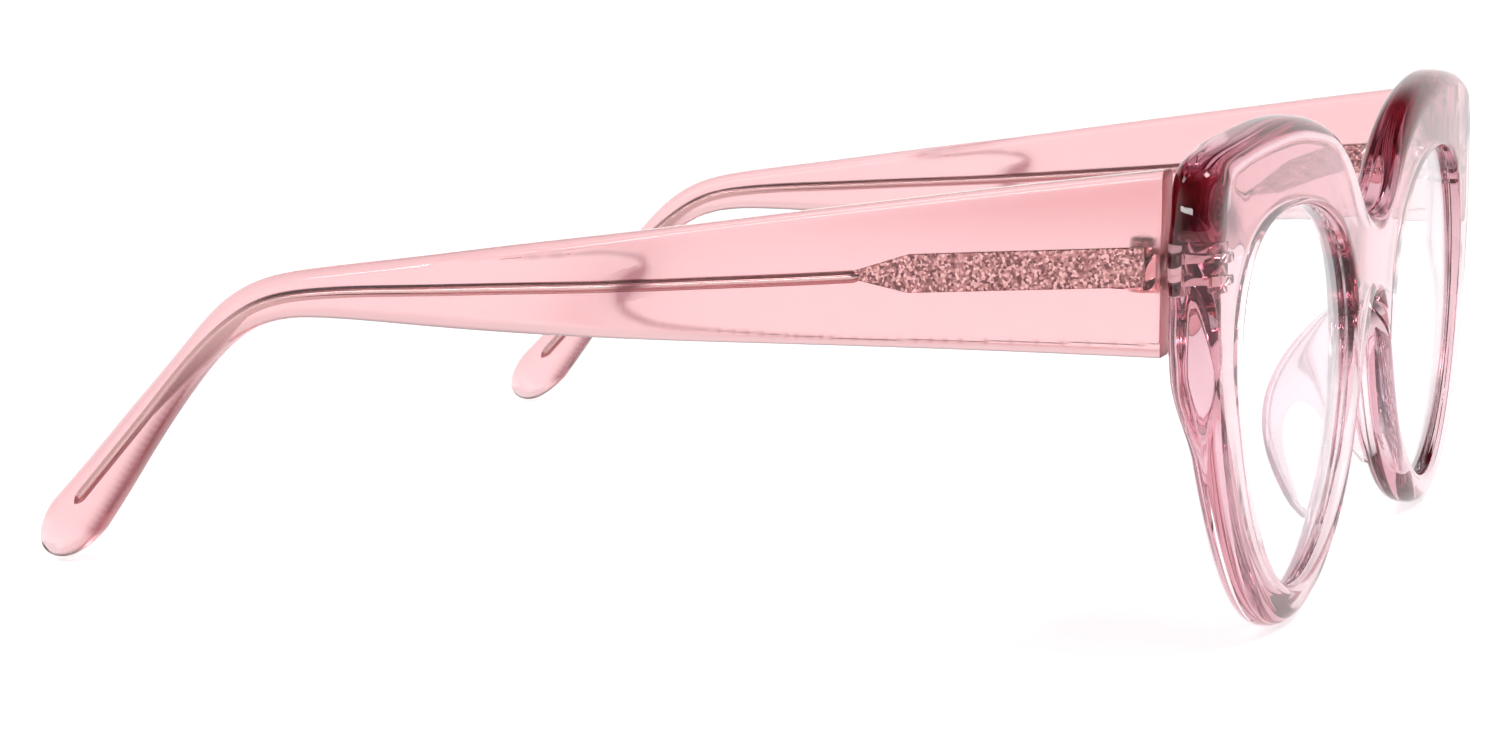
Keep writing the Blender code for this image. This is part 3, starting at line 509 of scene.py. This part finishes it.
def paint_facet_shade(item, side):
    """Paint shade along the slope of the facet, widest and deepest at its bend."""
    mesh = item.data
    places = np.array([v.co[:] for v in mesh.vertices]) / MM
    x = side * places[:, 0] - HINGE_X
    y = places[:, 1] - DATUM_Y - HINGE_Y
    along = HINGE_Y - x * math.sin(TOE_IN) + y * math.cos(TOE_IN)
    out = HINGE_X + x * math.cos(TOE_IN) + y * math.sin(TOE_IN)
    distance, middle = facet_place(along, places[:, 2])
    # Painted shade: a line along the slope, wide where the bend is wide, inside a softer one.
    core = np.exp(-(distance / (0.32 + 0.84 * middle)) ** 2)
    soft = np.exp(-(distance / (0.3 + 2.3 * middle)) ** 2)
    weight = (0.58 + 0.12 * middle) * core + 0.55 * middle * soft
    weight *= ease(out, TEMPLE_CENTRE_X + 0.9, TEMPLE_CENTRE_X + 1.5)
    weight *= 1.0 - ease(along, 72.0, 78.0)
    # Painted shade along the lower edge behind the ear.
    low = spline(TEMPLE_BOTTOM, 6, False)
    low_gap = np.hypot(along[:, None] - low[:, 0], places[:, 2:] - low[:, 1]).min(1)
    weight += 1.1 * np.exp(-(low_gap / 1.1) ** 2) * ease(along, 108.0, 122.0)
    weight = np.clip(weight, 0.0, 1.0)
    # The inner side and the front end are satin.
    satin = 1.0 - ease(out, TEMPLE_CENTRE_X - 1.75, TEMPLE_CENTRE_X - 1.0)
    satin = np.maximum(satin, 1.0 - ease(along, 4.2, 4.6))
    paint(mesh, weight, FACET_SHADE_COLOUR, satin)


def section(top, bottom, half, radius, centre_x, outer_steps=56):
    """Rounded rectangle from a top to a bottom point.

    Returns its points and how far out each one is, from 0 at the middle to 1 outside.
    """
    middle = (top + bottom) / 2.0
    half_height = np.linalg.norm(top - bottom) / 2.0
    up = (top - bottom) / (2.0 * half_height)
    radius = min(radius, half * 0.98, half_height * 0.98)
    flat_half = half - radius
    flat_height = half_height - radius
    shares = np.linspace(0.0, 1.0, outer_steps)
    shares -= CROWDING * np.sin(math.tau * shares) / math.tau
    points = [(half, flat_height * (1.0 - 2.0 * share)) for share in shares]
    for corner in range(3):
        begin = -corner * math.pi / 2.0
        sign_x = 1.0 if corner == 0 else -1.0
        sign_up = 1.0 if corner == 2 else -1.0
        for t in np.linspace(0.0, math.pi / 2.0, 8)[1:]:
            points.append((sign_x * flat_half + radius * math.cos(begin - t),
                           sign_up * flat_height + radius * math.sin(begin - t)))
        if corner == 1:
            rises = np.linspace(-flat_height, flat_height, 14)[1:]
            points += [(-half, rise) for rise in rises]
    for t in np.linspace(0.0, math.pi / 2.0, 8)[:-1]:
        points.append((flat_half + radius * math.sin(t), flat_height + radius * math.cos(t)))
    points = np.array(points)
    rows = np.empty((len(points), 3))
    rows[:, 0] = centre_x + points[:, 0]
    rows[:, 1:] = middle + up * points[:, 1:2]
    return rows, np.clip(points[:, 0] / half, 0.0, 1.0)


def temple_rings():
    """Cross-sections of a temple from its front end to its rounded tip, before toe-in."""
    top = spline(TEMPLE_TOP, TEMPLE_STEPS, False)
    bottom = spline(TEMPLE_BOTTOM, TEMPLE_STEPS, False)
    half = TEMPLE_THICKNESS / 2.0
    rings = []
    slope = math.tan(TOE_IN)
    for i, (high, low) in enumerate(zip(top, bottom)):
        middle_y = (high[0] + low[0]) / 2.0
        grown = float(ease(middle_y, 50.0, 80.0))
        radius = FRONT_EDGE_RADIUS + (TIP_EDGE_RADIUS - FRONT_EDGE_RADIUS) * grown
        row, share = section(high, low, half, radius, TEMPLE_CENTRE_X)
        row[:, 0] -= facet_depth(row[:, 1], row[:, 2]) * share
        if i == 0:
            row[:, 1] -= slope * (row[:, 0] - HINGE_X)
            away = row - row.mean(0)
            length = np.linalg.norm(away[:, [0, 2]], axis=1)
            for shrink, back in FRONT_END_STEPS:
                step = row.copy()
                step[:, 0] -= away[:, 0] / length * shrink
                step[:, 2] -= away[:, 2] / length * shrink
                step[:, 1] += back
                rings.append(step)
            continue
        rings.append(row)
    ahead = (top[-1] + bottom[-1]) / 2.0 - (top[-2] + bottom[-2]) / 2.0
    ahead /= np.linalg.norm(ahead)
    middle = (top[-1] + bottom[-1]) / 2.0
    half_span = (top[-1] - bottom[-1]) / 2.0
    for turn in np.linspace(6.0, 88.0, 18):
        angle = math.radians(turn)
        narrow = math.cos(angle) ** 0.75
        centre = middle + ahead * TEMPLE_TIP_LENGTH * math.sin(angle)
        thin = half * math.cos(angle) ** 0.42
        radius = TIP_EDGE_RADIUS + (thin - TIP_EDGE_RADIUS) * float(ease(turn, 10.0, 70.0))
        row, _ = section(centre + half_span * narrow, centre - half_span * narrow, thin,
                         min(radius, thin), TEMPLE_CENTRE_X)
        rings.append(row)
    return rings


def make_temple(word, side, rings, material):
    """A temple from its cross-sections, turned inward, with painted shade along its facet."""
    verts = np.vstack([toe_in(ring, side) for ring in rings])
    faces = tube_faces(rings)
    item = add_piece("temple_acetate_" + word, verts, faces, material, "temple_" + word,
                     "temple_" + word, 30.0)
    paint_facet_shade(item, side)
    return item


def make_shield(word, side, material):
    """Flat glittering plate that narrows to a point where the wire starts."""
    slope = (SHIELD_BACK[1] - SHIELD_FRONT[1]) / (SHIELD_BACK[0] - SHIELD_FRONT[0])
    rings = []
    for y in np.linspace(SHIELD_FRONT[0], SHIELD_END_Y, 60):
        z = SHIELD_FRONT[1] + slope * (y - SHIELD_FRONT[0])
        narrow = 1.0 - float(np.clip((y - SHIELD_BACK[0]) / SHIELD_POINT_LENGTH, 0.0, 1.0))
        height = SHIELD_POINT_HALF + (SHIELD_HALF_HEIGHT - SHIELD_POINT_HALF) * narrow
        thick = SHIELD_HALF_THICKNESS * (0.35 + 0.65 * min(narrow * 3.0, 1.0))
        row, _ = section(np.array((y, z + height)), np.array((y, z - height)), thick,
                         SHIELD_EDGE_RADIUS, TEMPLE_CENTRE_X, 16)
        rings.append(row)
    verts = np.vstack([toe_in(ring, side) for ring in rings])
    faces = tube_faces(rings)
    return add_piece("core_shield_" + word, verts, faces, material, "temple_" + word,
                     "core_wire_" + word, 40.0)


def make_wire(word, side, material):
    """Round wire from the shield's point to near the tip."""
    path = spline((WIRE_START,) + CORE_PATH, 12, False)
    rings = []
    for i, point in enumerate(path):
        along = path[min(i + 1, len(path) - 1)] - path[max(i - 1, 0)]
        along /= np.linalg.norm(along)
        up = np.array((-along[1], along[0]))
        radius = CORE_RADIUS * (0.25 + 0.75 * float(ease(i, -2.0, 10.0)))
        rings.append(wire_ring(point, up, radius))
    for reach, share in WIRE_END:
        rings.append(wire_ring(path[-1] + along * reach, up, CORE_RADIUS * share))
    verts = np.vstack([toe_in(ring, side) for ring in rings])
    faces = tube_faces(rings)
    return add_piece("core_wire_metal_" + word, verts, faces, material, "temple_" + word,
                     "core_wire_" + word, 50.0)


def wire_ring(point, up, radius):
    """Circle of points about one point of the path, in the plane of up and the x axis."""
    ring = []
    for turn in np.linspace(0.0, math.tau, 24, endpoint=False):
        out = radius * math.sin(turn)
        y, z = point + up * radius * math.cos(turn)
        ring.append((TEMPLE_CENTRE_X + out, y, z))
    return np.array(ring)


# ---- materials ----------------------------------------------------------------------------
def new_material(name):
    material = bpy.data.materials.new(name)
    material.use_nodes = True
    tree = material.node_tree
    return material, tree, tree.nodes["Principled BSDF"]


def surface_detail(tree, shader, scale, strength, distance, rough_low, rough_high):
    """Fine bump and uneven polish from noise in the part's own coordinates."""
    place = tree.nodes.new("ShaderNodeTexCoord")
    noise = tree.nodes.new("ShaderNodeTexNoise")
    noise.inputs["Scale"].default_value = scale
    noise.inputs["Detail"].default_value = 3.0
    tree.links.new(place.outputs["Object"], noise.inputs["Vector"])
    bump = tree.nodes.new("ShaderNodeBump")
    bump.inputs["Strength"].default_value = strength
    bump.inputs["Distance"].default_value = distance
    tree.links.new(noise.outputs["Fac"], bump.inputs["Height"])
    tree.links.new(bump.outputs["Normal"], shader.inputs["Normal"])
    spread = tree.nodes.new("ShaderNodeMapRange")
    spread.inputs["To Min"].default_value = rough_low
    spread.inputs["To Max"].default_value = rough_high
    tree.links.new(noise.outputs["Fac"], spread.inputs["Value"])
    tree.links.new(spread.outputs["Result"], shader.inputs["Roughness"])
    return noise


def acetate(name, colour, density, with_painted_shade):
    """Polished clear plastic whose colour deepens with thickness."""
    material, tree, shader = new_material(name)
    shader.inputs["Base Color"].default_value = (1.0, 1.0, 1.0, 1.0)
    # With painted shade, the stored attribute darkens the base colour, and its fourth number adds
    # satin roughness.
    if with_painted_shade:
        shade_and_satin = tree.nodes.new("ShaderNodeVertexColor")
        shade_and_satin.layer_name = "shade_and_satin"
        tree.links.new(shade_and_satin.outputs["Color"], shader.inputs["Base Color"])
    shader.inputs["Transmission Weight"].default_value = 1.0
    shader.inputs["IOR"].default_value = 1.49
    surface_detail(tree, shader, 220.0, 0.05, 0.00005, 0.0, 0.03)
    if with_painted_shade:
        polish = shader.inputs["Roughness"].links[0].from_socket
        satin = tree.nodes.new("ShaderNodeMath")
        satin.operation = "MULTIPLY_ADD"
        satin.inputs[1].default_value = SATIN
        tree.links.new(shade_and_satin.outputs["Alpha"], satin.inputs[0])
        tree.links.new(polish, satin.inputs[2])
        tree.links.new(satin.outputs["Value"], shader.inputs["Roughness"])
    absorb = tree.nodes.new("ShaderNodeVolumeAbsorption")
    absorb.inputs["Color"].default_value = (*colour, 1.0)
    absorb.inputs["Density"].default_value = density
    output = tree.nodes["Material Output"]
    tree.links.new(absorb.outputs["Volume"], output.inputs["Volume"])
    return material


def lens_material():
    """Clear plastic with a coating that reflects violet-blue."""
    material, tree, shader = new_material("clear_lens_coated")
    shader.inputs["Base Color"].default_value = (0.985, 0.985, 1.0, 1.0)
    shader.inputs["Transmission Weight"].default_value = 1.0
    shader.inputs["IOR"].default_value = 1.5
    shader.inputs["Specular Tint"].default_value = (0.55, 0.58, 1.0, 1.0)
    surface_detail(tree, shader, 120.0, 0.03, 0.00002, 0.0, 0.02)
    return material


def glitter_material():
    """Rose glitter: many small facets of differing tilt and brightness."""
    material, tree, shader = new_material("rose_glitter")
    place = tree.nodes.new("ShaderNodeTexCoord")
    cells = tree.nodes.new("ShaderNodeTexVoronoi")
    cells.inputs["Scale"].default_value = 3600.0
    tree.links.new(place.outputs["Object"], cells.inputs["Vector"])
    ramp = tree.nodes.new("ShaderNodeValToRGB")
    ramp.color_ramp.elements[0].position = 0.1
    ramp.color_ramp.elements[0].color = (0.16, 0.07, 0.07, 1.0)
    ramp.color_ramp.elements[1].position = 0.95
    ramp.color_ramp.elements[1].color = (1.0, 0.85, 0.82, 1.0)
    middle = ramp.color_ramp.elements.new(0.55)
    middle.color = (0.52, 0.30, 0.28, 1.0)
    split = tree.nodes.new("ShaderNodeSeparateColor")
    tree.links.new(cells.outputs["Color"], split.inputs["Color"])
    tree.links.new(split.outputs["Red"], ramp.inputs["Fac"])
    tree.links.new(ramp.outputs["Color"], shader.inputs["Base Color"])
    bump = tree.nodes.new("ShaderNodeBump")
    bump.inputs["Strength"].default_value = 0.9
    bump.inputs["Distance"].default_value = 0.00012
    tree.links.new(split.outputs["Green"], bump.inputs["Height"])
    tree.links.new(bump.outputs["Normal"], shader.inputs["Normal"])
    shader.inputs["Metallic"].default_value = 0.85
    shader.inputs["Roughness"].default_value = 0.32
    return material


def metal(name, colour, rough_low, rough_high):
    material, tree, shader = new_material(name)
    shader.inputs["Base Color"].default_value = (*colour, 1.0)
    shader.inputs["Metallic"].default_value = 1.0
    surface_detail(tree, shader, 900.0, 0.15, 0.00003, rough_low, rough_high)
    return material


def ribbed(material):
    """Stamped ridges across a metal's length."""
    tree = material.node_tree
    shader = tree.nodes["Principled BSDF"]
    place = tree.nodes.new("ShaderNodeTexCoord")
    ridge = tree.nodes.new("ShaderNodeTexWave")
    ridge.bands_direction = "DIAGONAL"
    ridge.inputs["Scale"].default_value = 210.0
    ridge.inputs["Distortion"].default_value = 1.2
    tree.links.new(place.outputs["Object"], ridge.inputs["Vector"])
    bump = tree.nodes.new("ShaderNodeBump")
    bump.inputs["Strength"].default_value = 1.0
    bump.inputs["Distance"].default_value = 0.00022
    tree.links.new(ridge.outputs["Fac"], bump.inputs["Height"])
    tree.links.new(shader.inputs["Normal"].links[0].from_socket, bump.inputs["Normal"])
    tree.links.new(bump.outputs["Normal"], shader.inputs["Normal"])
    return material


# ---- build --------------------------------------------------------------------------------
pink = acetate("pink_acetate_polished", (0.85, 0.075, 0.124), 156.0, True)
rose = acetate("rose_acetate_polished", (0.68, 0.06, 0.20), 78.0, True)
clear_pad = acetate("clear_acetate_polished", (0.86, 0.45, 0.56), 150.0, False)
clear_lens = lens_material()
glitter = glitter_material()
wire_metal = metal("rose_wire_metal", (0.62, 0.51, 0.49), 0.05, 0.12)
hinge_metal = ribbed(metal("hinge_nickel_rose", (0.74, 0.56, 0.56), 0.05, 0.14))
screw_metal = metal("screw_steel", (0.55, 0.53, 0.52), 0.22, 0.38)

make_front(rose)
rings = temple_rings()
for word, side in SIDES.items():
    make_nose_pad(word, side, clear_pad)
    make_lens(word, side, clear_lens)
    make_temple(word, side, rings, pink)
    make_shield(word, side, glitter)
    make_wire(word, side, wire_metal)
    for node, material in (("hinge_front_leaf_", hinge_metal), ("hinge_screw_", screw_metal),
                           ("hinge_temple_leaf_", hinge_metal)):
        item = frame["nodes"][node + word]
        for slot in item.material_slots:
            slot.material = material
        bevel = item.modifiers.new("soft_edges", "BEVEL")
        bevel.width = 0.00045 if node == "hinge_screw_" else 0.00022
        bevel.segments = 4
        bevel.limit_method = "ANGLE"
        bevel.angle_limit = math.radians(35.0)

# ---- floor, light, camera -----------------------------------------------------------------
floor_mesh = bpy.data.meshes.new("floor")
FLOOR_REACH = 14.0
floor_corners = [(x * FLOOR_REACH, y * FLOOR_REACH, 0.0)
                 for x, y in ((-1.0, -1.0), (1.0, -1.0), (1.0, 1.0), (-1.0, 1.0))]
floor_mesh.from_pydata(floor_corners, [], [(0, 1, 2, 3)])
floor = bpy.data.objects.new("floor", floor_mesh)
floor.location.z = -0.02 * MM
scene.collection.objects.link(floor)
floor_look, _, floor_shader = new_material("pale_floor")
floor_shader.inputs["Base Color"].default_value = (0.97, 0.97, 0.97, 1.0)
floor_shader.inputs["Roughness"].default_value = 0.3
floor_shader.inputs["Specular IOR Level"].default_value = 0.2
floor_shader.inputs["Emission Color"].default_value = (1.0, 1.0, 1.0, 1.0)
floor_shader.inputs["Emission Strength"].default_value = 0.56
floor_mesh.materials.append(floor_look)

AZIMUTH = -67.23
LOOK_DOWN = 9.056
CAMERA_PLACE = (-0.36214, -0.07708, 0.07898)
FOCAL_LENGTH, SENSOR_WIDTH = 76.564, 36.0


def direction(azimuth, elevation):
    """Unit vector at an azimuth from +Y towards -X and an elevation, both in degrees."""
    a, e = math.radians(azimuth), math.radians(elevation)
    return Vector((-math.sin(a) * math.cos(e), math.cos(a) * math.cos(e), math.sin(e)))


world = bpy.data.worlds.new("soft_studio")
world.use_nodes = True
scene.world = world
tree = world.node_tree
background = tree.nodes["Background"]
place = tree.nodes.new("ShaderNodeTexCoord")


def zone(azimuth, elevation, inner, outer):
    """Share 1 within inner degrees of a direction, fading to 0 at outer degrees."""
    toward = tree.nodes.new("ShaderNodeVectorMath")
    toward.operation = "DOT_PRODUCT"
    toward.inputs[1].default_value = direction(azimuth, elevation)
    tree.links.new(place.outputs["Generated"], toward.inputs[0])
    fade = tree.nodes.new("ShaderNodeMapRange")
    fade.interpolation_type = "SMOOTHSTEP"
    fade.inputs["From Min"].default_value = math.cos(math.radians(outer))
    fade.inputs["From Max"].default_value = math.cos(math.radians(inner))
    tree.links.new(toward.outputs["Value"], fade.inputs["Value"])
    return fade.outputs["Result"]


def blend(share, below, colour):
    """Lay a colour over what is below by a share."""
    mix = tree.nodes.new("ShaderNodeMixRGB")
    mix.inputs["Color2"].default_value = (*colour, 1.0)
    tree.links.new(share, mix.inputs["Fac"])
    tree.links.new(below, mix.inputs["Color1"])
    return mix.outputs["Color"]


split = tree.nodes.new("ShaderNodeSeparateXYZ")
tree.links.new(place.outputs["Generated"], split.inputs["Vector"])
horizon = tree.nodes.new("ShaderNodeValToRGB")
ramp = horizon.color_ramp
ramp.elements[0].position = 0.0
ramp.elements[0].color = (1.12, 1.10, 1.10, 1.0)
ramp.elements[1].position = 0.66
ramp.elements[1].color = (0.07, 0.045, 0.055, 1.0)
for height in (0.08, 0.34):
    step = ramp.elements.new(height)
    step.color = (1.0, 1.0, 1.0, 1.0)
tree.links.new(split.outputs["Z"], horizon.inputs["Fac"])
sky = blend(zone(AZIMUTH + 180.0, 14.0, 22.0, 74.0), horizon.outputs["Color"],
            (0.15, 0.08, 0.10))
seen = tree.nodes.new("ShaderNodeLightPath")
sky = blend(seen.outputs["Is Camera Ray"], sky, (1.0, 1.0, 1.0))
tree.links.new(sky, background.inputs["Color"])
background.inputs["Strength"].default_value = 1.0


def add_area(name, azimuth, elevation, distance, width, height, power):
    """Soft lamp in a direction from the glasses, facing them and unseen by the camera."""
    data = bpy.data.lights.new(name, "AREA")
    data.shape = "RECTANGLE"
    data.size = width
    data.size_y = height
    data.energy = power
    lamp = bpy.data.objects.new(name, data)
    lamp.visible_camera = False
    out = direction(azimuth, elevation)
    lamp.location = Vector((0.0, 0.0, 0.03)) + out * distance
    lamp.rotation_euler = (-out).to_track_quat("-Z", "Y").to_euler()
    scene.collection.objects.link(lamp)


add_area("key", 160.0, 62.0, 1.2, 0.3, 0.3, 4.0)
add_area("fill", 40.0, 50.0, 1.4, 0.35, 0.35, 2.0)
add_area("strip", 70.0, 14.0, 1.3, 0.9, 0.11, 4.0)

data = bpy.data.cameras.new("camera")
data.lens = FOCAL_LENGTH
data.sensor_width = SENSOR_WIDTH
camera = bpy.data.objects.new("camera", data)
camera.location = Vector(CAMERA_PLACE) + Vector((0.0, DATUM_Y * MM, 0.0))
camera.rotation_euler = direction(AZIMUTH, -LOOK_DOWN).to_track_quat("-Z", "Y").to_euler()
data.clip_start = 0.01
data.clip_end = 100.0
scene.collection.objects.link(camera)
scene.camera = camera

scene.view_settings.view_transform = "Standard"
scene.view_settings.look = "None"
scene.cycles.max_bounces = 48
scene.cycles.transmission_bounces = 40
scene.cycles.glossy_bounces = 40
scene.cycles.transparent_max_bounces = 12
scene.cycles.volume_bounces = 0
scene.cycles.sample_clamp_indirect = 6.0
